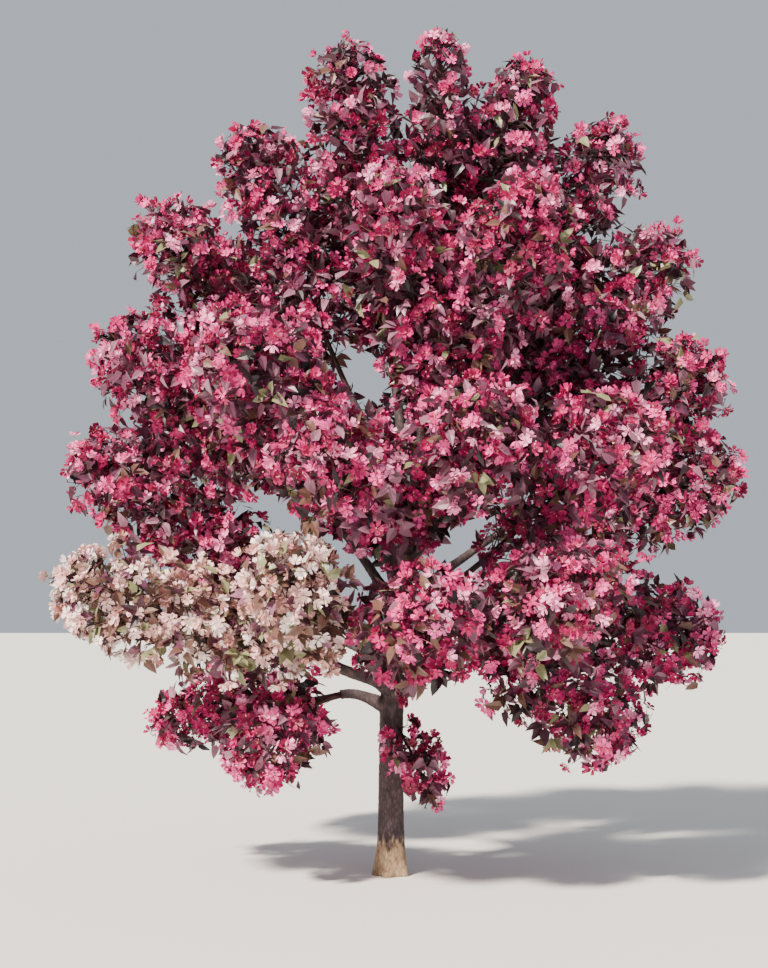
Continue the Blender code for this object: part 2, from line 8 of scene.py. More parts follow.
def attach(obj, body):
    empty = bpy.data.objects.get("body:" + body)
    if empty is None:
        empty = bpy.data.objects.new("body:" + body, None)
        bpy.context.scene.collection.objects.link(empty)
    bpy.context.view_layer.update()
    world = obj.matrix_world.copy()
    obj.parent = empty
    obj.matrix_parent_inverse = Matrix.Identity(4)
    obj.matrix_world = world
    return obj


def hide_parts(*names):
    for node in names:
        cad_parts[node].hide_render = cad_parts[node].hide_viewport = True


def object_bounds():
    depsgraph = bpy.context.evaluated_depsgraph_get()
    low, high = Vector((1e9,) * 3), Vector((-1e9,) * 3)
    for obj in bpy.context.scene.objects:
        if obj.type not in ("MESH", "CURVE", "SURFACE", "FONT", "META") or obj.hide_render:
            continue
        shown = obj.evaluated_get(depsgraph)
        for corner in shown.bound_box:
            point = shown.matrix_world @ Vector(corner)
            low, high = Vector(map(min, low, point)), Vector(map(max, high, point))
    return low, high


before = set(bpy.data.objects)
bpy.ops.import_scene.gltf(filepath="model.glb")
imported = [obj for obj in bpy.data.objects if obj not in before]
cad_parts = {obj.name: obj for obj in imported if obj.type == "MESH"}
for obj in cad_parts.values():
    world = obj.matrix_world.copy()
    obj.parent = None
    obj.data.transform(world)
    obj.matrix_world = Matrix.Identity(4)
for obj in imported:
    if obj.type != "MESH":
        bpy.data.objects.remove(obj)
cadLow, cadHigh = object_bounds()

# A purple-leaved crabapple in blossom. Metres, +Z up, origin in the flat cut at ground level.
# The plan of trunk, boughs and stems is the one the frame's solids follow, and the same rule of
# growth is carried on here to finer twigs, leaves and single blossoms.


# Curves and frames, for one row of places or many at once


def unit(v):
    v = np.asarray(v, float)
    return v / np.maximum(np.linalg.norm(v, axis=-1, keepdims=True), 1e-12)


def bezier(ends, count):
    a, b, c, d = (np.array(p, float) for p in ends)
    t = np.linspace(0, 1, count)[:, None]
    return (1 - t) ** 3 * a + 3 * t * (1 - t) ** 2 * b + 3 * t**2 * (1 - t) * c + t**3 * d


def tangents(points):
    return unit(np.gradient(points, axis=0))


def placesOn(points, shares):
    steps = np.asarray(shares) * (len(points) - 1)
    low = np.minimum(steps.astype(int), len(points) - 2)
    return points[low] + (points[low + 1] - points[low]) * (steps - low)[:, None]


def across(directions, turns):
    # two unit vectors square to each direction, turned about it
    first = unit(np.cross(directions, (0.31, 0.17, 0.93)))
    second = np.cross(directions, first)
    cos, sin = np.cos(turns)[:, None], np.sin(turns)[:, None]
    return first * cos + second * sin, second * cos - first * sin


def evenAxis(points, radii, gap):
    # the same curve with its rings evenly apart
    lengths = np.concatenate([[0], np.cumsum(np.linalg.norm(np.diff(points, axis=0), axis=1))])
    places = np.linspace(0, lengths[-1], max(8, round(lengths[-1] / gap)))
    axis = np.column_stack([np.interp(places, lengths, points[:, k]) for k in range(3)])
    return axis, np.interp(places, lengths, radii), places


def strewn(shapes, faces, picks, origins, along, facing, sizes):
    # one joined mesh's corners and faces from many copies of small shapes
    along = unit(along)
    side = unit(np.cross(facing, along))
    up = np.cross(along, side)
    local = shapes[picks] * sizes[:, None, None]
    verts = origins[:, None] + local[..., :1] * along[:, None]
    verts = verts + local[..., 1:2] * side[:, None] + local[..., 2:] * up[:, None]
    offsets = np.arange(len(origins))[:, None, None] * shapes.shape[1]
    return verts.reshape(-1, 3), (faces[None] + offsets).reshape(-1, 3)


def tubes(axes, radii, sides):
    # closed tubes round many axes that have the same number of rings
    count, rings, _ = axes.shape
    steps = unit(np.gradient(axes, axis=1))
    side, _ = across(steps[:, 0], np.zeros(count))
    verts = np.empty((count, rings, sides, 3))
    for k in range(rings):
        side = unit(side - steps[:, k] * (side * steps[:, k]).sum(-1, keepdims=True))
        up = np.cross(steps[:, k], side)
        for j in range(sides):
            angle = 2 * math.pi * j / sides
            way = side * math.cos(angle) + up * math.sin(angle)
            verts[:, k, j] = axes[:, k] + way * radii[:, k, None]
    faces = []
    for k in range(rings - 1):
        for j in range(sides):
            a, b = k * sides + j, k * sides + (j + 1) % sides
            faces += [(a, b, b + sides), (a, b + sides, a + sides)]
    top = (rings - 1) * sides
    for j in range(1, sides - 1):
        faces += [(0, j + 1, j), (top, top + j, top + j + 1)]
    offsets = np.arange(count)[:, None, None] * rings * sides
    return verts.reshape(-1, 3), (np.array(faces)[None] + offsets).reshape(-1, 3)


# The plan: axes of trunk, boughs and stems

trunk = {
    "top": (0.085, 0.012, 1.60),  # the fork
    "footHandle": (0, 0, 0.5),  # from the foot and down from the fork, for its slight lean
    "forkHandle": (0.10, -0.01, 0.55),
    "radius": 0.055,
    "forkRadius": 0.036,
    "flareRadius": 0.074,
    "flareHeight": 0.09,
    "flareLobes": 5,  # roots that show as swellings
    "lobeDepth": 0.13,
    "lobeTurn": 0.6,
    "axisSamples": 60,
    "sides": 52,
    "ringGap": 0.0065,
}

# What each bough grows from, where it leaves it (a height on the trunk, or a share of another
# bough), its tip, and its radius at both ends
boughs = {
    "leader_left": ("trunk", 1.42, (0.02, 0.06, 2.04), 0.028, 0.020),
    "leader_centre": ("trunk", None, (0.17, 0.04, 2.02), 0.036, 0.021),
    "leader_right": ("trunk", 1.37, (0.29, 0.01, 1.94), 0.028, 0.014),
    "upper_left": ("leader_left", 0.34, (-0.17, -0.01, 2.00), 0.018, 0.013),
    "upper_right": ("leader_right", 0.42, (0.43, 0.05, 1.90), 0.018, 0.013),
    "left_shoulder": ("trunk", 1.30, (-0.30, 0.09, 1.84), 0.024, 0.013),
    "left_flank": ("trunk", 1.10, (-0.31, -0.02, 1.54), 0.025, 0.013),
    "left_front": ("trunk", 1.19, (-0.11, -0.21, 1.50), 0.023, 0.013),
    "upper_front": ("trunk", 1.31, (0.13, -0.18, 1.74), 0.025, 0.021),
    "right_shoulder": ("trunk", 1.27, (0.52, 0.06, 1.76), 0.025, 0.013),
    "right_flank": ("trunk", 1.10, (0.56, 0.00, 1.50), 0.025, 0.013),
    "right_front": ("trunk", 1.02, (0.31, -0.22, 1.25), 0.024, 0.013),
    "centre": ("trunk", 1.07, (0.07, -0.24, 1.34), 0.024, 0.021),
    "left_low": ("trunk", 0.92, (-0.36, 0.07, 1.15), 0.027, 0.014),
    "pale": ("trunk", 0.76, (-0.23, -0.27, 0.88), 0.029, 0.021),
    "low_left": ("trunk", 0.69, (-0.21, -0.02, 0.745), 0.024, 0.020),
    "right_tip": ("trunk", 0.95, (0.60, 0.00, 1.27), 0.026, 0.013),
    "right_low": ("trunk", 0.80, (0.45, 0.05, 0.98), 0.027, 0.014),
    "bottom_right": ("trunk", 0.72, (0.29, -0.17, 0.91), 0.026, 0.021),
    "back_left": ("trunk", 1.20, (-0.17, 0.27, 1.66), 0.026, 0.021),
    "back_right": ("trunk", 1.11, (0.26, 0.28, 1.64), 0.026, 0.021),
    "back_centre": ("trunk", 0.98, (0.04, 0.28, 1.25), 0.024, 0.014),
    "back_low_left": ("trunk", 0.84, (-0.26, 0.25, 0.97), 0.025, 0.014),
    "back_low_right": ("trunk", 0.87, (0.28, 0.27, 0.99), 0.025, 0.014),
}

# What each mass grows from, where (a height on the trunk, or None at a bough's tip), its
# furthest tip, its girth, how far its stem bows up or down, and its blossom
masses = {
    "top_left": ("leader_left", None, (-0.20, -0.10, 3.49), 0.28, 0.00, "wine"),
    "top_centre": ("leader_centre", None, (0.21, -0.24, 3.50), 0.19, 0.00, "wine"),
    "back_top": ("leader_centre", None, (0.36, 0.42, 3.30), 0.31, 0.06, "wine"),
    "back_high_left": ("leader_left", None, (-0.22, 0.58, 3.10), 0.33, 0.06, "wine"),
    "top_right": ("leader_right", None, (0.59, -0.06, 3.42), 0.26, 0.04, "wine"),
    "upper_right": ("upper_right", None, (0.98, 0.12, 3.20), 0.26, 0.03, "wine"),
    "upper_front_right": ("upper_front", None, (0.62, -0.58, 2.78), 0.28, 0.05, "wine"),
    "upper_front": ("upper_front", None, (0.00, -0.56, 2.84), 0.28, 0.05, "wine"),
    "upper_left": ("upper_left", None, (-0.64, 0.10, 3.16), 0.29, 0.05, "wine"),
    "left_shoulder": ("left_shoulder", None, (-1.04, 0.08, 2.82), 0.29, -0.05, "wine"),
    "left_flank": ("left_flank", None, (-1.20, -0.10, 2.25), 0.31, 0.02, "wine"),
    "left_front": ("left_front", None, (-0.66, -0.96, 2.13), 0.32, 0.05, "wine"),
    "right_shoulder": ("right_shoulder", None, (1.21, 0.05, 2.71), 0.28, -0.04, "wine"),
    "right_flank": ("right_flank", None, (1.36, -0.05, 2.15), 0.30, 0.02, "wine"),
    "right_front": ("right_front", None, (0.96, -0.86, 1.80), 0.32, 0.06, "wine"),
    "centre": ("centre", None, (0.40, -1.10, 1.84), 0.30, 0.04, "wine"),
    "centre_left": ("centre", None, (-0.31, -1.12, 1.68), 0.31, 0.04, "wine"),
    "left_low": ("left_low", None, (-1.33, 0.00, 1.79), 0.31, -0.06, "wine"),
    "pale_inner": ("pale", None, (-0.40, -1.10, 1.26), 0.27, 0.04, "pale"),
    "pale_outer": ("pale", None, (-1.29, -0.60, 1.24), 0.29, -0.05, "pale"),
    "low_left": ("low_left", None, (-1.03, 0.24, 0.57), 0.20, 0.08, "wine"),
    "bottom_left": ("low_left", None, (-0.58, -0.50, 0.46), 0.23, 0.07, "wine"),
    "right_tip": ("right_tip", None, (1.45, 0.00, 1.73), 0.27, 0.02, "wine"),
    "right_low": ("right_low", None, (1.38, 0.05, 0.97), 0.31, 0.03, "wine"),
    "right_front_low": ("bottom_right", None, (0.76, -1.00, 1.22), 0.29, 0.05, "wine"),
    "bottom_right": ("bottom_right", None, (0.96, -0.36, 0.56), 0.28, 0.07, "wine"),
    "front_low": ("trunk", 0.90, (0.15, -1.08, 1.08), 0.30, 0.05, "wine"),
    "trunk_spray": ("trunk", 0.66, (0.17, -0.30, 0.32), 0.12, 0.06, "wine"),
    "back_upper_left": ("back_left", None, (-0.74, 0.66, 2.70), 0.38, 0.05, "wine"),
    "back_left": ("back_left", None, (-1.06, 0.74, 1.95), 0.40, 0.02, "wine"),
    "back_upper_right": ("back_right", None, (0.80, 0.66, 2.68), 0.38, 0.05, "wine"),
    "back_right": ("back_right", None, (1.12, 0.72, 1.92), 0.40, 0.02, "wine"),
    "back_centre": ("back_centre", None, (0.05, 1.25, 1.95), 0.43, 0.00, "wine"),
    "back_low_left": ("back_low_left", None, (-0.86, 0.92, 1.02), 0.38, 0.06, "wine"),
    "back_low_right": ("back_low_right", None, (0.86, 0.94, 1.06), 0.38, 0.06, "wine"),
}


def trunkPath(count):
    top = np.array(trunk["top"])
    return bezier(((0, 0, 0), trunk["footHandle"], top - trunk["forkHandle"], top), count)


def trunkRadius(height):
    share = height / trunk["top"][2]
    body = trunk["radius"] + (trunk["forkRadius"] - trunk["radius"]) * share**1.3
    flare = trunk["flareRadius"] - trunk["radius"]
    return body + flare * math.exp(-((height / trunk["flareHeight"]) ** 1.5))


def footOf(parent, leaves, limbs):
    # where a bough or stem leaves its parent, and the parent's direction there
    axis = limbs[parent]["points"]
    if leaves is None:
        nearest = len(axis) - 1
    elif parent == "trunk":
        nearest = int(np.argmin(abs(axis[:, 2] - leaves)))
    else:
        nearest = round(leaves * (len(axis) - 1))
    return axis[nearest], tangents(axis)[nearest]


def makeLimbs():
    points = trunkPath(trunk["axisSamples"])
    radii = np.array([trunkRadius(z) for z in points[:, 2]])
    limbs = {"trunk": {"points": points, "radii": radii}}
    for name, (parent, leaves, tip, baseRadius, tipRadius) in boughs.items():
        start, along = footOf(parent, leaves, limbs)
        tip = np.array(tip)
        length = np.linalg.norm(tip - start)
        out = unit(tip - start)
        borne = [m for m in masses.values() if m[0] == name and m[1] is None]
        first = along if leaves is None else unit(out + 0.15 * along)
        last = unit(sum(unit(np.array(m[2]) - tip) for m in borne) + 0.5 * out)
        points = bezier((start, start + first * length / 3, tip - last * length / 3, tip), 40)
        shares = np.linspace(0, 1, len(points))
        radii = tipRadius + (baseRadius - tipRadius) * (1 - shares) ** 1.2
        limbs[name] = {"points": points, "radii": radii}
    return limbs


stemWood = {
    "alone": 0.98,  # a stem's thickness at its foot, as a share of its bough's tip
    "forked": 0.72,  # the same where two stems share the tip
    "fromTrunk": 0.0095,  # radius of one that leaves the trunk itself
    "tip": 0.0022,
    "ringGap": 0.03,
    "sides": 7,
}


def makeStems(limbs):
    stems = {}
    for name, (parent, leaves, tip, girth, bow, _) in masses.items():
        start, along = footOf(parent, leaves, limbs)
        tip = np.array(tip)
        if leaves is None:
            mates = [n for n, m in masses.items() if m[0] == parent and m[1] is None]
            share = stemWood["alone"] if len(mates) == 1 else stemWood["forked"]
            radius = limbs[parent]["radii"][-1] * share
        else:
            radius = stemWood["fromTrunk"]
            along = unit(tip - start)
        length = np.linalg.norm(tip - start)
        middle = (start + 2 * tip) / 3 + np.array((0, 0, bow))
        ends = (start, start + along * length * 0.28, middle, tip)
        points = bezier(ends, growth["stemSamples"])
        stems[name] = {"points": points, "girth": girth, "length": length, "radius": radius}
    return stems


# The rule of growth, and whose space a point lies in

growth = {
    "seed": 7,
    "stemSamples": 33,
    "widestShare": 0.55,
    "footFullness": 0.35,
    "tipFullness": 0.15,
    "goldenAngle": math.radians(137.5),
    "rise": math.radians(40),  # what grows out stands this far up from the stem's cross-section
    "limbClearance": 0.012,
    "outsideBox": 0.03,  # a leaf's tip or a blossom's foot goes no further past the solids' box
    # how far each may reach into a neighbour's space, in girths, and past its own, as a share
    "overlap": {"twig": 0.14, "twiglet": 0.24, "leaf": 0.40, "blossom": 0.36},
    "stretch": {"twig": 1.0, "twiglet": 1.03, "leaf": 1.10, "blossom": 1.05},
    "shootRange": (0.84, 0.985),  # the leafy end of each stem
    "shootPlaces": 11,
    "shadeDepth": 0.42,  # deeper inside the crown than this, some spurs are bare
    "shadeShare": 0.62,  # of the spurs there, how many bear
    "crownCentre": (0.05, 0.05, 1.85),
}


def fullness(share):
    widest, foot, tip = growth["widestShare"], growth["footFullness"], growth["tipFullness"]
    share = np.asarray(share, float)
    swell = foot + (1 - foot) * np.sin(math.pi / 2 * share / widest)
    past = np.clip((share - widest) / (1 - widest), 0, 1)
    return np.where(share < widest, swell, tip + (1 - tip) * np.sqrt(1 - past**2))


limbs = makeLimbs()
stems = makeStems(limbs)
stemNames = list(stems)
stemAxes = np.concatenate([stems[n]["points"] for n in stemNames])
stemGirths = np.array([stems[n]["girth"] for n in stemNames])
limbPoints = np.concatenate([limb["points"] for limb in limbs.values()])
limbRadii = np.concatenate([limb["radii"] for limb in limbs.values()])


def gapsTo(points, others):
    # distances between every point and every other, without a big array of differences
    square = (points**2).sum(1)[:, None] + (others**2).sum(1)[None] - 2 * points @ others.T
    return np.sqrt(np.maximum(square, 0))


def keeps(name, points, kind):
    # true for points in this mass's own space and clear of the limbs
    index = stemNames.index(name)
    points = np.asarray(points, float)
    shape, points = points.shape[:-1], points.reshape(-1, 3)
    gaps = gapsTo(points, stemAxes).reshape(len(points), len(stemNames), -1)
    shares = gaps.min(axis=2) / stemGirths
    others = np.delete(shares, index, axis=1).min(axis=1)
    place = gaps[:, index].argmin(axis=1) / (growth["stemSamples"] - 1)
    own = shares[:, index] - growth["overlap"][kind] < others
    within = shares[:, index] <= fullness(place) * growth["stretch"][kind]
    clear = (gapsTo(points, limbPoints) - limbRadii[None]).min(axis=1) > growth["limbClearance"]
    edge = growth["outsideBox"]
    inBox = ((points > np.array(cadLow) - edge) & (points < np.array(cadHigh) + edge)).all(axis=1)
    return (own & within & clear & inBox).reshape(shape)


# Growth of one mass: twigs from its stem, twiglets from the twigs, and the spurs that bear

twig = {
    "spacing": 0.024,
    "range": (0.12, 0.99),  # from where to where on the stem
    "reach": (0.70, 1.0),  # as a share of the mass's width there
    "tries": np.linspace(0.2, 1, 9),  # shares of the reach at which it is tested
    "bend": 0.55,  # where it bends most
    "wander": 0.06,  # how much, as a share of its reach
    "sag": 0.006,
    "lift": 0.12,
    "rings": 6,
    "sides": 3,
    "radius": (0.0042, 0.0016),
}


def growTwigs(name, rng):
    # each twig's axis, cut back to what fits, and its reach
    stem = stems[name]
    count = round(stem["length"] / twig["spacing"])
    low, high = twig["range"]
    shares = low + (high - low) * (np.arange(count) + rng.random(count)) / count
    directions = unit(placesOn(tangents(stem["points"]), shares))
    turns = rng.random() * 2 * math.pi + growth["goldenAngle"] * np.arange(count)
    sides, _ = across(directions, turns)
    rise = growth["rise"]
    headings = unit(sides * math.cos(rise) + directions * math.sin(rise) + (0, 0, twig["lift"]))
    roots = placesOn(stem["points"], shares)
    reach = stem["girth"] * fullness(shares) * rng.uniform(*twig["reach"], count)
    tries = twig["tries"]
    samples = roots[:, None] + headings[:, None] * (reach[:, None] * tries)[:, :, None]
    fits = np.cumprod(keeps(name, samples, "twig"), axis=1).sum(axis=1)
    kept = fits > 1  # one with no room is left out
    roots, headings = roots[kept], headings[kept]
    reach = (reach * tries[np.maximum(fits - 1, 0)])[kept]
    middles = roots + headings * reach[:, None] * twig["bend"]
    wander = rng.normal(0, twig["wander"], middles.shape) * reach[:, None]
    middles = middles + wander - (0, 0, twig["sag"])
    ends = roots + headings * reach[:, None]
    t = np.linspace(0, 1, twig["rings"])[None, :, None]
    bends = middles[:, None] * 2 * t * (1 - t)
    return roots[:, None] * (1 - t) ** 2 + bends + ends[:, None] * t**2, reach


twiglet = {
    "spacing": 0.036,
    "range": (0.12, 0.96),  # from where to where on the twig
    "heading": (0.82, 0.57, 0.15),  # outward, along the twig, and up
    "length": (0.035, 0.085),
    "sides": 3,
    "radius": (0.0022, 0.0012),
}


def growTwiglets(name, twigs, reach, rng):
    # each twiglet's two ends and its heading
    outward, forward, up = twiglet["heading"]
    roots, headings = [], []
    for axis, length in zip(twigs, reach):
        count = max(2, round(length / twiglet["spacing"]))
        shares = np.clip((np.arange(count) + rng.random(count)) / count, *twiglet["range"])
        directions = unit(placesOn(tangents(axis), shares))
        turns = rng.random() * 7 + growth["goldenAngle"] * np.arange(count)
        sides, _ = across(directions, turns)
        roots.append(placesOn(axis, shares))
        headings.append(unit(sides * outward + directions * forward + (0, 0, up)))
    roots, headings = np.concatenate(roots), np.concatenate(headings)
    lengths = rng.uniform(*twiglet["length"], len(roots))
    for _ in range(2):  # one that leaves its space is halved, twice at most
        ends = roots + headings * lengths[:, None]
        lengths = np.where(keeps(name, ends, "twiglet"), lengths, lengths * 0.5)
    ends = roots + headings * lengths[:, None]
    return np.stack([roots, ends], axis=1), headings


def growMass(name, rng):
    shootPlaces = np.linspace(*growth["shootRange"], growth["shootPlaces"])
    twigs, reach = growTwigs(name, rng)
    twiglets, headings = growTwiglets(name, twigs, reach, rng)
    twigHeadings = unit(twigs[:, -1] - twigs[:, -2])
    return {
        "twigs": twigs,
        "twiglets": twiglets,
        "spurs": np.concatenate([twiglets[:, -1], twigs[:, -1]]),
        "headings": np.concatenate([headings, twigHeadings]),
        "atTip": np.repeat([False, True], [len(twiglets), len(twigs)]),
        "shoot": placesOn(stems[name]["points"], shootPlaces),
    }


# Materials


def linear(code):
    # an sRGB hex value as linear red, green, blue and full alpha
    channels = [int(code[k : k + 2], 16) / 255 for k in (1, 3, 5)]
    curve = [c / 12.92 if c <= 0.04045 else ((c + 0.055) / 1.055) ** 2.4 for c in channels]
    return (*curve, 1.0)


def addNode(tree, kind, settings=(), links=()):
    # a setting is a property of the node, a socket's value, or a colour ramp's stops
    node = tree.nodes.new(kind)
    for key, value in dict(settings).items():
        if key == "stops":
            elements = node.color_ramp.elements
            while len(elements) < len(value):
                elements.new(0.5)
            for element, (place, code) in zip(elements, value):
                element.position = place
                element.color = linear(code)
        elif isinstance(key, str) and hasattr(node, key):
            setattr(node, key, value)
        else:
            node.inputs[key].default_value = value
    for key, source in dict(links).items():
        tree.links.new(source, node.inputs[key])
    return node


def newMaterial(name):
    material = bpy.data.materials.new(name)
    material.use_nodes = True
    tree = material.node_tree
    tree.nodes.clear()
    return material, tree


def finishMaterial(tree, settings, links):
    shader = addNode(tree, "ShaderNodeBsdfPrincipled", settings, links)
    addNode(tree, "ShaderNodeOutputMaterial", links={"Surface": shader.outputs["BSDF"]})


# Grown apple bark: thin plates 8 to 20 mm wide in cool grey-brown, with dark cracks between
# them, and rough tan cork over the root flare. It is matt all over.
bark = {
    "plates": (
        (0.0, "#1B1211"),
        (0.35, "#33282A"),
        (0.62, "#4B3E41"),
        (0.85, "#6A5957"),
        (1.0, "#8A7770"),
    ),
    "foot": ((0.0, "#3A2A1E"), (0.4, "#7D6247"), (0.75, "#B4977A"), (1.0, "#D2BBA0")),
    "plateMm": 14,
    "grainMm": 70 / 3,
    "pitMm": 2.8,
    "upright": 0.45,  # plates are about twice as long as wide
    "crackShare": 0.55,  # how much the cracks count in the tone, beside the grain
    "pitShare": 0.35,  # how much the pits count in the bump
    "footTop": (-0.02, 0.03),  # height over which the cork gives way
    "footRagged": 0.26,  # how far up its ragged edge reaches
    "bumpStrength": 0.7,
    "bumpDepth": 0.003,
    "roughness": (0.70, 0.94),
    "IOR": 1.45,
}


def makeBark():
    material, tree = newMaterial("appleBarkGrown")
    place = addNode(tree, "ShaderNodeTexCoord").outputs["Object"]
    stretched = {"Scale": (1, 1, bark["upright"])}
    long = addNode(tree, "ShaderNodeMapping", stretched, {"Vector": place}).outputs["Vector"]
    cracked = {"feature": "DISTANCE_TO_EDGE", "Scale": 1000 / bark["plateMm"]}
    plates = addNode(tree, "ShaderNodeTexVoronoi", cracked, {"Vector": long})
    grained = {"Scale": 1000 / bark["grainMm"], "Detail": 6.0, "Roughness": 0.62}
    grain = addNode(tree, "ShaderNodeTexNoise", grained, {"Vector": long})
    pitted = {"Scale": 1000 / bark["pitMm"], "Detail": 3.0}
    pits = addNode(tree, "ShaderNodeTexNoise", pitted, {"Vector": place})

    mixed = {"operation": "MULTIPLY_ADD", 1: bark["crackShare"]}
    links = {0: plates.outputs["Distance"], 2: grain.outputs["Fac"]}
    tone = addNode(tree, "ShaderNodeMath", mixed, links).outputs["Value"]
    grey = addNode(tree, "ShaderNodeValToRGB", {"stops": bark["plates"]}, {"Fac": tone})
    tan = addNode(tree, "ShaderNodeValToRGB", {"stops": bark["foot"]}, {"Fac": tone})

    # the cork gives way by height, less the grain, so that its edge is ragged
    height = addNode(tree, "ShaderNodeSeparateXYZ", links={"Vector": place}).outputs["Z"]
    lowered = {"operation": "MULTIPLY_ADD", 1: -bark["footRagged"]}
    links = {0: grain.outputs["Fac"], 2: height}
    ragged = addNode(tree, "ShaderNodeMath", lowered, links)
    low, high = bark["footTop"]
    ends = {"From Min": low, "From Max": high, "To Min": 1.0, "To Max": 0.0}
    foot = addNode(tree, "ShaderNodeMapRange", ends, {"Value": ragged.outputs["Value"]})
    links = {0: foot.outputs["Result"], 6: grey.outputs["Color"], 7: tan.outputs["Color"]}
    colour = addNode(tree, "ShaderNodeMix", {"data_type": "RGBA"}, links)

    mixed = {"operation": "MULTIPLY_ADD", 1: bark["pitShare"]}
    surface = addNode(tree, "ShaderNodeMath", mixed, {0: pits.outputs["Fac"], 2: tone})
    raised = {"Strength": bark["bumpStrength"], "Distance": bark["bumpDepth"]}
    bump = addNode(tree, "ShaderNodeBump", raised, {"Height": surface.outputs["Value"]})
    smoothest, roughest = bark["roughness"]
    ends = {"To Min": smoothest, "To Max": roughest}
    rough = addNode(tree, "ShaderNodeMapRange", ends, {"Value": pits.outputs["Fac"]})
    links = {
        "Base Color": colour.outputs[2],
        "Roughness": rough.outputs["Result"],
        "Normal": bump.outputs["Normal"],
    }
    finishMaterial(tree, {"IOR": bark["IOR"]}, links)
    return material


# Young apple bark: smooth red-brown skin with a slight gloss and pale breathing pores
youngBark = {
    "skin": ((0.0, "#1E0E10"), (0.55, "#3E2022"), (0.8, "#57332F"), (1.0, "#A58C7C")),
    "poreMm": 1000 / 260,  # 3.8 mm apart, drawn coarser than life so that they show
    "bumpStrength": 0.4,
    "bumpDepth": 0.001,
    "roughness": 0.5,
    "IOR": 1.45,
}


def makeYoungBark():
    material, tree = newMaterial("appleBarkYoung")
    place = addNode(tree, "ShaderNodeTexCoord").outputs["Object"]
    spaced = {"Scale": 1000 / youngBark["poreMm"], "Detail": 3.0}
    pores = addNode(tree, "ShaderNodeTexNoise", spaced, {"Vector": place}).outputs["Fac"]
    colour = addNode(tree, "ShaderNodeValToRGB", {"stops": youngBark["skin"]}, {"Fac": pores})
    raised = {"Strength": youngBark["bumpStrength"], "Distance": youngBark["bumpDepth"]}
    bump = addNode(tree, "ShaderNodeBump", raised, {"Height": pores})
    settings = {"IOR": youngBark["IOR"], "Roughness": youngBark["roughness"]}
    links = {"Base Color": colour.outputs["Color"], "Normal": bump.outputs["Normal"]}
    finishMaterial(tree, settings, links)
    return material


# Living leaf with a waxy skin: it mirrors the sky in a soft sheen, and is puckered
# between its veins about every 6 mm. The tints are plain base colours dealt out by spray; the
# mauve tint is a painted sheen and the dark tint painted shade.
leafTints = {
    "leafBurgundy": "#3A1222",
    "leafPlum": "#5E2A44",
    # painted sheen: the grey-mauve that sunlit leaves show where they mirror the sky
    "leafMauvePaintedSheen": "#8B5C70",
    "leafBronze": "#6B4A3E",
    "leafOlive": "#84835F",
    # painted shade: a near-black tint for leaves that stand in shade
    "leafPaintedShade": "#1E0A13",
}

# Living petal: matt and soft, from crimson where it opened last to pale pink where it fades,
# and shell to white on the blush boughs. The crimson tint is partly painted shade and the
# pink tint partly a painted highlight, the colours of petals in shade and in sun.
petalTints = {
    # fresh crimson, and partly painted shade: the colour of petals in shade
    "petalCrimsonAndPaintedShade": "#8C0C44",
    "petalMagenta": "#C01E6A",
    "petalRose": "#E25096",
    # faded pink, and partly a painted highlight: the colour of petals facing the sun
    "petalPinkAndPaintedHighlight": "#F898C6",
    "petalFaded": "#C88E88",
    "petalShell": "#EBBDB9",
    "petalBlush": "#F9DAD6",
    "petalWhite": "#FFF3EE",
}

# How each kind of grown skin takes the light, and how far apart its puckers lie
grownSkin = {
    "IOR": 1.45,
    "roughnessSpread": 0.1,
    "bumpStrength": 0.25,
    "bumpDepth": 0.001,
    "sheenRoughness": 0.4,
    "coatRoughness": 0.3,
}
leafSkin = {"roughness": 0.42, "puckerMm": 6, "sheen": 0.15, "coat": 0.15}
petalSkin = {"roughness": 0.55, "puckerMm": 4, "sheen": 0.05, "coat": 0.0}
pollenSkin = {"roughness": 0.7, "puckerMm": 2, "sheen": 0.0, "coat": 0.0}


def makeGrown(name, code, skin):
    material, tree = newMaterial(name)
    place = addNode(tree, "ShaderNodeTexCoord").outputs["Object"]
    puckered = {"Scale": 1000 / skin["puckerMm"], "Detail": 2.0}
    pucker = addNode(tree, "ShaderNodeTexNoise", puckered, {"Vector": place}).outputs["Fac"]
    spread = grownSkin["roughnessSpread"]
    ends = {"To Min": skin["roughness"] - spread, "To Max": skin["roughness"] + spread}
    rough = addNode(tree, "ShaderNodeMapRange", ends, {"Value": pucker})
    raised = {"Strength": grownSkin["bumpStrength"], "Distance": grownSkin["bumpDepth"]}
    bump = addNode(tree, "ShaderNodeBump", raised, {"Height": pucker})
    settings = {
        "Base Color": linear(code),
        "IOR": grownSkin["IOR"],
        "Sheen Weight": skin["sheen"],
        "Sheen Roughness": grownSkin["sheenRoughness"],
        "Coat Weight": skin["coat"],
        "Coat Roughness": grownSkin["coatRoughness"],
    }
    links = {"Roughness": rough.outputs["Result"], "Normal": bump.outputs["Normal"]}
    finishMaterial(tree, settings, links)
    return material


barkMaterial = makeBark()
youngMaterial = makeYoungBark()
leafMaterials = [makeGrown(name, code, leafSkin) for name, code in leafTints.items()]
petalMaterials = [makeGrown(name, code, petalSkin) for name, code in petalTints.items()]
stamenMaterial = makeGrown("stamenPollen", "#E8C9A0", pollenSkin)
print("materials made")


# Meshes


def makePiece(name, verts, faces, materials, tints, nodes, smooth=False):
    mesh = bpy.data.meshes.new(name)
    mesh.vertices.add(len(verts))
    mesh.vertices.foreach_set("co", verts.astype(np.float32).ravel())
    mesh.loops.add(faces.size)
    mesh.loops.foreach_set("vertex_index", faces.astype(np.int32).ravel())
    mesh.polygons.add(len(faces))
    mesh.polygons.foreach_set("loop_start", np.arange(len(faces), dtype=np.int32) * 3)
    for material in materials:
        mesh.materials.append(material)
    mesh.polygons.foreach_set("material_index", np.asarray(tints, np.int32))
    mesh.polygons.foreach_set("use_smooth", np.full(len(faces), smooth))
    mesh.update(calc_edges=True)
    piece = bpy.data.objects.new(name, mesh)
    bpy.context.scene.collection.objects.link(piece)
    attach(piece, "root")
    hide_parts(*nodes)


# Trunk and boughs with the bark's relief in the mesh

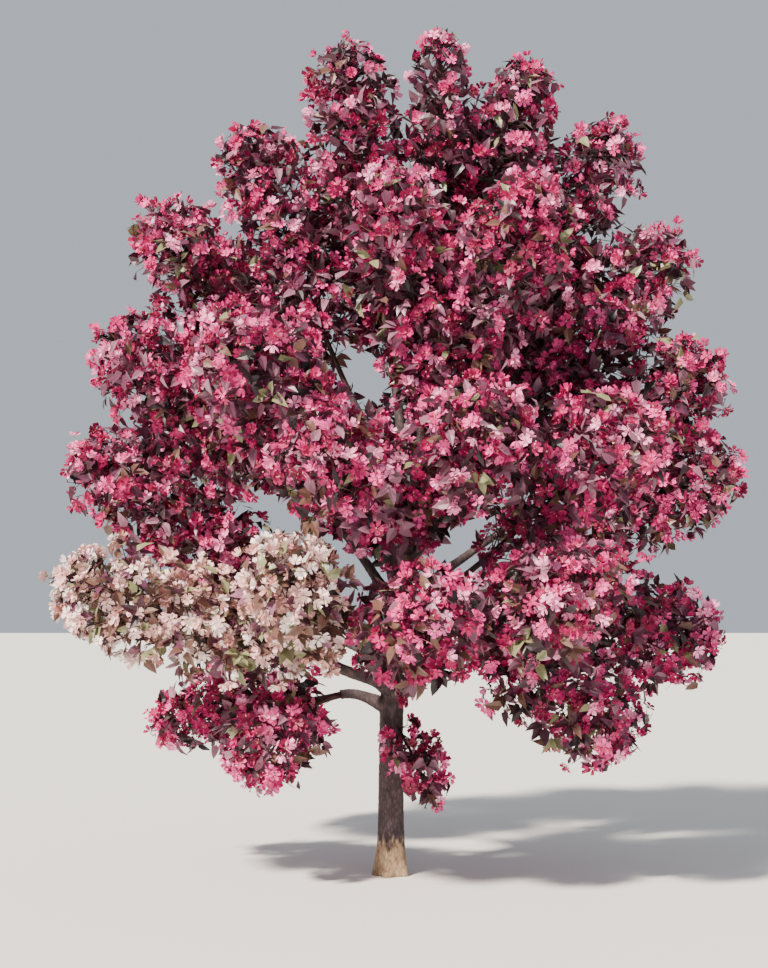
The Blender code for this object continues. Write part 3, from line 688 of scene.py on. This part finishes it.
relief = {
    "plateWidth": 0.013,
    "plateLength": 0.030,
    "depth": 0.0022,  # between the plates, on the trunk
    "lumps": 0.03,  # slow swelling, as a share of the radius
    "collar": 1.45,  # how far a bough thickens where it joins
    "collarLength": 0.045,
    "saddle": 0.10,  # how far the trunk swells round a bough's foot, as a share of its radius
    "boughShare": 0.55,  # of the trunk's depth
    "boughSides": 22,
    "boughRingGap": 0.008,
}


def barkHeight(point):
    # flat plates with cracks between them, and finer roughness on both
    x, y, z = point
    wide, long = relief["plateWidth"], relief["plateLength"]
    spot = Vector((x / wide, y / wide, z / long))
    near, after = noise.voronoi(spot)[0][:2]
    plate = min((after - near) * 2.2, 1.0)
    return plate - 0.6 + 0.5 * noise.noise(spot * 2.1)


def limbMesh(axis, radii, sides, depth, swell=None):
    steps = tangents(axis)
    side = across(steps[:1], np.zeros(1))[0][0]
    verts = []
    for k, centre in enumerate(axis):
        side = unit(side - steps[k] * np.dot(side, steps[k]))
        up = np.cross(steps[k], side)
        for j in range(sides):
            angle = 2 * math.pi * j / sides
            way = side * math.cos(angle) + up * math.sin(angle)
            radius = radii[k] * (swell(centre, way, angle) if swell else 1)
            radius *= 1 + relief["lumps"] * noise.noise(Vector(centre * 9 + way * 0.8))
            spot = centre + way * radius
            verts.append(spot + way * depth * barkHeight(spot))
    faces = []
    for k in range(len(axis) - 1):
        for j in range(sides):
            a, b = k * sides + j, k * sides + (j + 1) % sides
            faces += [(a, b, b + sides), (a, b + sides, a + sides)]
    top = (len(axis) - 1) * sides
    for j in range(1, sides - 1):
        faces += [(0, j + 1, j), (top, top + j, top + j + 1)]
    return np.array(verts), np.array(faces)


def makeTrunk():
    path = trunkPath(400)  # fine enough to space the rings by
    axis, _, _ = evenAxis(path, path[:, 2], trunk["ringGap"])
    radii = [trunkRadius(z) for z in axis[:, 2]]
    sideBoughs = [n for n, b in boughs.items() if b[0] == "trunk" and b[1] is not None]
    feet = np.array([limbs[n]["points"][3] for n in sideBoughs])

    def swell(centre, way, angle):
        fade = math.exp(-centre[2] / trunk["flareHeight"])
        lobe = math.cos(trunk["flareLobes"] * angle + trunk["lobeTurn"])
        made = 1 + trunk["lobeDepth"] * fade * lobe
        spot = centre + way * trunkRadius(centre[2])
        gap = np.linalg.norm(feet - spot, axis=1).min()
        return made + relief["saddle"] * math.exp(-((gap / relief["collarLength"]) ** 2))

    verts, faces = limbMesh(axis, radii, trunk["sides"], relief["depth"], swell)
    verts[: trunk["sides"], 2] = 0.0
    verts[:, 2] = np.maximum(verts[:, 2], 0.0)
    tints = np.zeros(len(faces), int)
    makePiece("trunkBark", verts, faces, [barkMaterial], tints, ["trunk"], smooth=True)


def makeBoughs():
    for name, (parent, leaves, *_) in boughs.items():
        limb = limbs[name]
        axis, radii, places = evenAxis(limb["points"], limb["radii"], relief["boughRingGap"])
        if leaves is not None:
            foot = limbs[parent]["radii"][0] if parent != "trunk" else trunkRadius(leaves)
            collar = np.exp(-((np.maximum(places - foot, 0) / relief["collarLength"]) ** 1.5))
            radii = radii * (1 + (relief["collar"] - 1) * collar)
        depth = relief["depth"] * relief["boughShare"]
        verts, faces = limbMesh(axis, radii, relief["boughSides"], depth)
        tints = np.zeros(len(faces), int)
        piece, nodes = f"boughBark_{name}", [f"bough_{name}"]
        makePiece(piece, verts, faces, [barkMaterial], tints, nodes, smooth=True)


makeTrunk()
makeBoughs()
print("trunk and boughs made")

# The crown, in parts that keep each piece under 200,000 triangles

crownParts = {
    "top": (
        "top_left", "top_centre", "top_right",
        "back_top", "back_high_left", "upper_right", "upper_left",
    ),
    "front": (
        "upper_front_right", "upper_front", "left_front", "right_front",
        "centre", "centre_left", "front_low", "trunk_spray",
    ),
    "left": ("left_shoulder", "left_flank", "left_low", "low_left", "bottom_left"),
    "right": (
        "right_shoulder", "right_flank", "right_tip",
        "right_low", "right_front_low", "bottom_right",
    ),
    "back": (
        "back_upper_left", "back_left", "back_upper_right", "back_right",
        "back_centre", "back_low_left", "back_low_right",
    ),
    "pale": ("pale_inner", "pale_outer"),
}

# How often each tint falls to a spray, in the order of the tables of tints. The mauve
# column is painted sheen and falls most on the front; the dark column is painted shade and
# falls most on the right.
leafDeal = {  # burgundy, plum, mauve, bronze, olive, dark
    "top": (0.34, 0.32, 0.14, 0.06, 0.02, 0.12),
    "front": (0.20, 0.24, 0.26, 0.12, 0.06, 0.12),
    "left": (0.26, 0.26, 0.20, 0.12, 0.06, 0.10),
    "right": (0.24, 0.22, 0.16, 0.14, 0.08, 0.16),
    "back": (0.26, 0.26, 0.18, 0.12, 0.06, 0.12),
    "pale": (0.14, 0.10, 0.08, 0.34, 0.28, 0.06),
}
petalDeal = {  # crimson, magenta, rose, pink, faded, shell, blush, white
    "wine": (0.20, 0.33, 0.29, 0.18, 0, 0, 0, 0),
    "pale": (0, 0, 0, 0, 0.20, 0.34, 0.30, 0.16),
}

# How many spurs bear blossom, in each part and at a twig's tip
blossomShare = {
    "top": 0.60,
    "front": 0.74,
    "left": 0.76,
    "right": 0.72,
    "back": 0.66,
    "pale": 0.80,
}
tipBlossomShare = 0.35
strayShare = 0.22  # of a spray's leaves or blossoms, how many have a tint of their own

# Leaf and blossom shapes, a unit long, with x along the leaf or along the blossom's axis

leafShape = {
    "length": 0.080,
    "spread": (0.82, 1.16),
    "halfWidth": 0.23,
    "fold": (0.10, 0.75),  # along the midrib
    "curl": (-0.10, 0.42),  # of the tip
    "wave": 0.05,  # of the edge
    "unevenTurn": 0.3,
    "droop": 0.12,
    "facing": (0, -0.1, 0.6),  # which way the upper side turns
    "scatter": 0.25,
    "variants": 8,
}


def leafShapes(rng):
    # stalk, midrib and edge; each variant has its own fold and curl
    flat = np.array([
        (0, 0.010), (0, -0.010), (0.17, 0), (0.44, 0), (0.72, 0), (1, 0),
        (0.36, 1), (0.68, 0.72), (0.36, -1), (0.68, -0.72),
    ])
    flat[6:, 1] *= leafShape["halfWidth"]
    made = []
    for _ in range(leafShape["variants"]):
        fold, curl = rng.uniform(*leafShape["fold"]), rng.uniform(*leafShape["curl"])
        wave = rng.uniform(-leafShape["wave"], leafShape["wave"], 4)
        height = fold * abs(flat[:, 1]) - curl * np.maximum(flat[:, 0] - 0.1, 0) ** 2
        height[6:] += wave
        made.append(np.column_stack([flat, height]))
    faces = [(0, 1, 2)]
    for near, far in ((6, 7), (8, 9)):
        half = [(2, near, 3), (near, far, 3), (3, far, 4), (far, 5, 4)]
        faces += half if near == 8 else [(a, c, b) for a, b, c in half]
    return np.array(made), np.array(faces)


blossomShape = {
    "radius": 0.030,
    "spread": (0.82, 1.18),
    "petals": 5,
    "cups": (0.10, 0.28, 0.45, 0.62, 0.85),  # how far the petals rise, from flat to half open
    "stalk": (0.022, 0.042),
    "perSpur": (4, 6),  # from, and up to but without
    "scatter": 0.6,  # of the stalks of one umbel
    "lift": 0.1,
    "nod": 0.25,
    # a petal's outline: how far out, how far aside, and its share of the rise
    "petal": (
        (0.06, 0, 0),
        (0.50, 0.27, 0.9),
        (0.50, -0.27, 0.9),
        (0.93, 0.26, 1),
        (0.93, -0.26, 1),
        (0.62, 0, 0.55),
    ),
    "petalFaces": ((0, 5, 1), (1, 5, 3), (3, 5, 4), (4, 5, 2), (2, 5, 0)),
    "unevenTurn": 0.09,
    "stamenHeight": 0.30,
    "stamenRadius": 0.13,
}


def blossomShapes(rng):
    # five cupped petals round a small cone of stamens
    petals, outline = blossomShape["petals"], blossomShape["petal"]
    made = []
    for cup in blossomShape["cups"]:
        verts = []
        for petal in range(petals):
            turn = 2 * math.pi * petal / petals + rng.normal(0, blossomShape["unevenTurn"])
            cos, sin = math.cos(turn), math.sin(turn)
            lift = cup * rng.uniform(0.75, 1.25)
            for reach, aside, share in outline:
                # the more a petal rises, the less it reaches out
                height = lift * reach**1.4 * share
                reach = reach * (1 - 0.35 * lift * reach)
                verts.append((height, reach * cos - aside * sin, reach * sin + aside * cos))
        verts.append((blossomShape["stamenHeight"], 0, 0))
        wide = blossomShape["stamenRadius"]
        verts += [(0.02, wide * math.cos(a), wide * math.sin(a)) for a in (0, 2.1, 4.2)]
        made.append(verts)
    faces, parts = [], []
    for petal in range(petals):
        base = petal * len(outline)
        for face in blossomShape["petalFaces"]:
            faces.append(tuple(base + corner for corner in face))
        parts += [0] * len(blossomShape["petalFaces"])
    centre = petals * len(outline)
    for k in range(3):
        faces.append((centre, centre + 1 + k, centre + 1 + (k + 1) % 3))
        parts.append(1)
    return np.array(made), np.array(faces), np.array(parts)


# A flower stalk: a slender spike from the blossom down to its spur, a unit long
stalkForm = np.array([[(0, 0.024, 0), (0, -0.012, 0.021), (0, -0.012, -0.021), (1, 0, 0)]])
stalkFaces = np.array([(0, 1, 2), (0, 3, 1), (1, 3, 2), (2, 3, 0)])


shapeRng = np.random.default_rng(growth["seed"])
leafForms, leafFaces = leafShapes(shapeRng)
blossomForms, blossomFaces, blossomKinds = blossomShapes(shapeRng)


def leavesAt(points, headings, perSpur, opening, rng):
    # a whorl of leaves round each spur, upper side towards the light
    owners = np.repeat(np.arange(len(points)), perSpur)
    uneven = rng.normal(0, leafShape["unevenTurn"], len(owners))
    turns = np.arange(len(owners)) * growth["goldenAngle"] + uneven
    sides, _ = across(headings[owners], turns)
    angles = rng.uniform(*opening, len(owners))[:, None]
    along = headings[owners] * np.cos(angles) + sides * np.sin(angles)
    along = unit(along - (0, 0, leafShape["droop"]))
    scatter = rng.normal(0, leafShape["scatter"], along.shape)
    facing = headings[owners] + leafShape["facing"] + scatter
    sizes = leafShape["length"] * rng.uniform(*leafShape["spread"], len(owners))
    return owners, points[owners], along, facing, sizes


def dealt(owners, weights, rng):
    # a tint for each spray, and for a few of its members one of their own
    count = len(weights)
    weights = np.array(weights) / sum(weights)
    main = rng.choice(count, owners.max() + 1, p=weights)[owners]
    own = rng.choice(count, len(owners), p=weights)
    return np.where(rng.random(len(owners)) < strayShare, own, main)


# What a spur bears besides blossom: how many leaves, and how wide they open, in radians
whorls = {
    "underBlossom": (2, (1.0, 1.7)),
    "alongTwig": (4, (0.6, 1.4)),
    "twigTip": (5, (0.2, 1.2)),
    "shoot": (2, (0.25, 0.95)),
}


def dressMass(name, part, grown, rng):
    spurs, headings, atTip = grown["spurs"], grown["headings"], grown["atTip"]
    bears = rng.random(len(spurs)) < blossomShare[part]
    bears &= ~atTip | (rng.random(len(spurs)) < tipBlossomShare)
    along, tip = ~bears & ~atTip, ~bears & atTip
    sprays = [
        leavesAt(spurs[bears], headings[bears], *whorls["underBlossom"], rng),
        leavesAt(spurs[along], headings[along], *whorls["alongTwig"], rng),
        leavesAt(spurs[tip], headings[tip], *whorls["twigTip"], rng),
    ]
    shoot = grown["shoot"]
    shootHeadings = np.repeat(unit(shoot[-1] - shoot[0])[None], len(shoot), axis=0)
    sprays.append(leavesAt(shoot, shootHeadings, *whorls["shoot"], rng))
    leaves = []
    for owners, roots, along, facing, sizes in sprays:
        if not len(owners):
            continue
        tips = roots + along * sizes[:, None]
        fits = keeps(name, np.stack([tips, (roots + tips) / 2], axis=1), "leaf").all(axis=1)
        tints = dealt(owners, leafDeal[part], rng)
        leaves.append((roots[fits], along[fits], facing[fits], sizes[fits], tints[fits]))
    roots, along, facing, sizes, tints = (np.concatenate(c) for c in zip(*leaves))
    picks = rng.integers(0, len(leafForms), len(roots))
    verts, faces = strewn(leafForms, leafFaces, picks, roots, along, facing, sizes)
    made = {"leaves": (verts, faces, np.repeat(tints, len(leafFaces)))}

    counts = rng.integers(*blossomShape["perSpur"], bears.sum())
    owners = np.repeat(np.flatnonzero(bears), counts)
    scatter = rng.normal(0, blossomShape["scatter"], (len(owners), 3))
    lean = unit(headings[owners] + scatter + (0, 0, blossomShape["lift"]))
    stalks = rng.uniform(*blossomShape["stalk"], len(owners))[:, None]
    ends = spurs[owners] + lean * stalks
    fits = keeps(name, ends, "blossom")
    owners, lean, ends = owners[fits], lean[fits], ends[fits]
    look = unit(lean + rng.normal(0, blossomShape["nod"], lean.shape))
    sizes = blossomShape["radius"] * rng.uniform(*blossomShape["spread"], len(owners))
    picks = rng.integers(0, len(blossomForms), len(owners))
    spins = rng.normal(0, 1, lean.shape)
    verts, faces = strewn(blossomForms, blossomFaces, picks, ends, look, spins, sizes)
    tints = dealt(owners, petalDeal[masses[name][5]], rng)[:, None]
    kinds = np.where(blossomKinds[None] == 0, tints, len(petalMaterials))
    made["blossom"] = (verts, faces, kinds.ravel())

    picks, ways = np.zeros(len(owners), int), spurs[owners] - ends
    verts, faces = strewn(stalkForm, stalkFaces, picks, ends, ways, spins, stalks[fits, 0])
    made["stalks"] = (verts, faces, np.zeros(len(faces), int))
    return made


def woodOf(name, grown):
    # a mass's stem, twigs and twiglets
    stem = stems[name]
    axis, _, places = evenAxis(stem["points"], stem["points"][:, 2], stemWood["ringGap"])
    tip = stemWood["tip"]
    radii = tip + (stem["radius"] - tip) * (1 - places / places[-1]) ** 0.9
    base, end = twig["radius"]
    taper = base + (end - base) * np.linspace(0, 1, twig["rings"])
    twigRadii = np.repeat(taper[None], len(grown["twigs"]), axis=0)
    twigletRadii = np.repeat([twiglet["radius"]], len(grown["twiglets"]), axis=0)
    return [
        tubes(axis[None], radii[None], stemWood["sides"]),
        tubes(grown["twigs"], twigRadii, twig["sides"]),
        tubes(grown["twiglets"], twigletRadii, twiglet["sides"]),
    ]


outlineCells = {"turns": 24, "lifts": 12}  # round the crown's middle, and from foot to top


def crownDepths(points):
    # how far below the crown's outline each point lies, seen from the crown's middle
    turns, lifts = outlineCells["turns"], outlineCells["lifts"]
    offsets = points - np.array(growth["crownCentre"])
    reach = np.linalg.norm(offsets, axis=1)
    turn = np.arctan2(offsets[:, 1], offsets[:, 0]) / math.pi + 1
    turn = (turn * turns / 2).astype(int) % turns
    lift = np.clip((offsets[:, 2] / reach + 1) * lifts / 2, 0, lifts - 0.01).astype(int)
    cell = turn * lifts + lift
    outline = np.zeros(turns * lifts)
    np.maximum.at(outline, cell, reach)
    return outline[cell] - reach


def joined(parts):
    # one mesh from many, with each one's tints
    verts, faces, tints, base = [], [], [], 0
    for v, f, t in parts:
        verts.append(v)
        faces.append(f + base)
        tints.append(t)
        base += len(v)
    return np.concatenate(verts), np.concatenate(faces), np.concatenate(tints)


def makeCrown():
    # grows every mass, thins the shaded spurs, and joins each part's wood, leaves and blossom
    grown = {}
    for number, name in enumerate(masses):
        grown[name] = growMass(name, np.random.default_rng(growth["seed"] * 1000 + number))
    depths = crownDepths(np.concatenate([g["spurs"] for g in grown.values()]))
    start, total = 0, 0
    thinRng = np.random.default_rng(growth["seed"] + 1)
    for g in grown.values():
        depth = depths[start : start + len(g["spurs"])]
        start += len(g["spurs"])
        lit = depth < growth["shadeDepth"]
        kept = lit | (thinRng.random(len(depth)) < growth["shadeShare"])
        for key in ("spurs", "headings", "atTip"):
            g[key] = g[key][kept]
    print("spurs that bear", sum(len(g["spurs"]) for g in grown.values()))
    for part, names in crownParts.items():
        gathered = {"leaves": [], "blossom": [], "stalks": [], "wood": []}
        for name in names:
            rng = np.random.default_rng(growth["seed"] * 77 + stemNames.index(name))
            for kind, solid in dressMass(name, part, grown[name], rng).items():
                gathered[kind].append(solid)
            for verts, faces in woodOf(name, grown[name]):
                gathered["wood"].append((verts, faces, np.zeros(len(faces), int)))
        nodes = [f"mass_{name}" for name in names]
        slot = "pale_blossom_and_leaf" if part == "pale" else "blossom_and_leaf"
        finishes = {
            "wood": ([youngMaterial], "bark", True),
            "stalks": ([leafMaterials[1]], slot, False),
            "leaves": (leafMaterials, slot, False),
            "blossom": (petalMaterials + [stamenMaterial], slot, False),
        }
        for kind, (materials, kindSlot, smooth) in finishes.items():
            verts, faces, tints = joined(gathered[kind])
            piece = f"{kind}_{part}"
            makePiece(piece, verts, faces, materials, tints, nodes, smooth)
            total += len(faces)
            print(part, kind, len(faces), "triangles")
    print("crown made,", total, "triangles")


makeCrown()

# Floor, light and camera

studio = {
    "floorSize": 60.0,
    "floor": "#E9E6E1",
    "sky": "#DDE6F0",
    "skyStrength": 0.7,
    "sunStrength": 10.0,
    "sunColour": "#FFF4E6",
    "sunAngle": 5.0,
    "sunFrom": (-5.0, -6.0, 7.5),  # upper left, in front
    "cameraPlace": (-0.03, -7.0, 1.234),
    "cameraPitch": 3.21,
    "sensorWidth": 36,
    "lens": 36 * 1664 / 968,  # for a picture 768 by 968
}


def makeStudio():
    size = studio["floorSize"] / 2
    mesh = bpy.data.meshes.new("floor")
    corners = [(-size, -size, 0), (size, -size, 0), (size, size, 0), (-size, size, 0)]
    mesh.from_pydata(corners, [], [(0, 1, 2, 3)])
    floor = bpy.data.objects.new("floor", mesh)
    bpy.context.scene.collection.objects.link(floor)
    material, tree = newMaterial("paintedFloor")
    finishMaterial(tree, {"Base Color": linear(studio["floor"]), "Roughness": 0.9}, {})  # matt
    mesh.materials.append(material)

    world = bpy.data.worlds.new("studio")
    world.use_nodes = True
    background = world.node_tree.nodes["Background"]
    background.inputs["Color"].default_value = linear(studio["sky"])
    background.inputs["Strength"].default_value = studio["skyStrength"]
    bpy.context.scene.world = world

    sun = bpy.data.lights.new("key", "SUN")
    sun.energy = studio["sunStrength"]
    sun.angle = math.radians(studio["sunAngle"])
    sun.color = linear(studio["sunColour"])[:3]
    key = bpy.data.objects.new("key", sun)
    key.rotation_euler = Vector(studio["sunFrom"]).to_track_quat("Z", "Y").to_euler()
    bpy.context.scene.collection.objects.link(key)

    camera = bpy.data.cameras.new("camera")
    camera.lens = studio["lens"]
    camera.sensor_width = studio["sensorWidth"]
    camera.clip_end = 200
    taken = bpy.data.objects.new("camera", camera)
    taken.location = studio["cameraPlace"]
    taken.rotation_euler = (math.radians(90 + studio["cameraPitch"]), 0, 0)
    bpy.context.scene.collection.objects.link(taken)
    bpy.context.scene.camera = taken


makeStudio()
print("studio made")
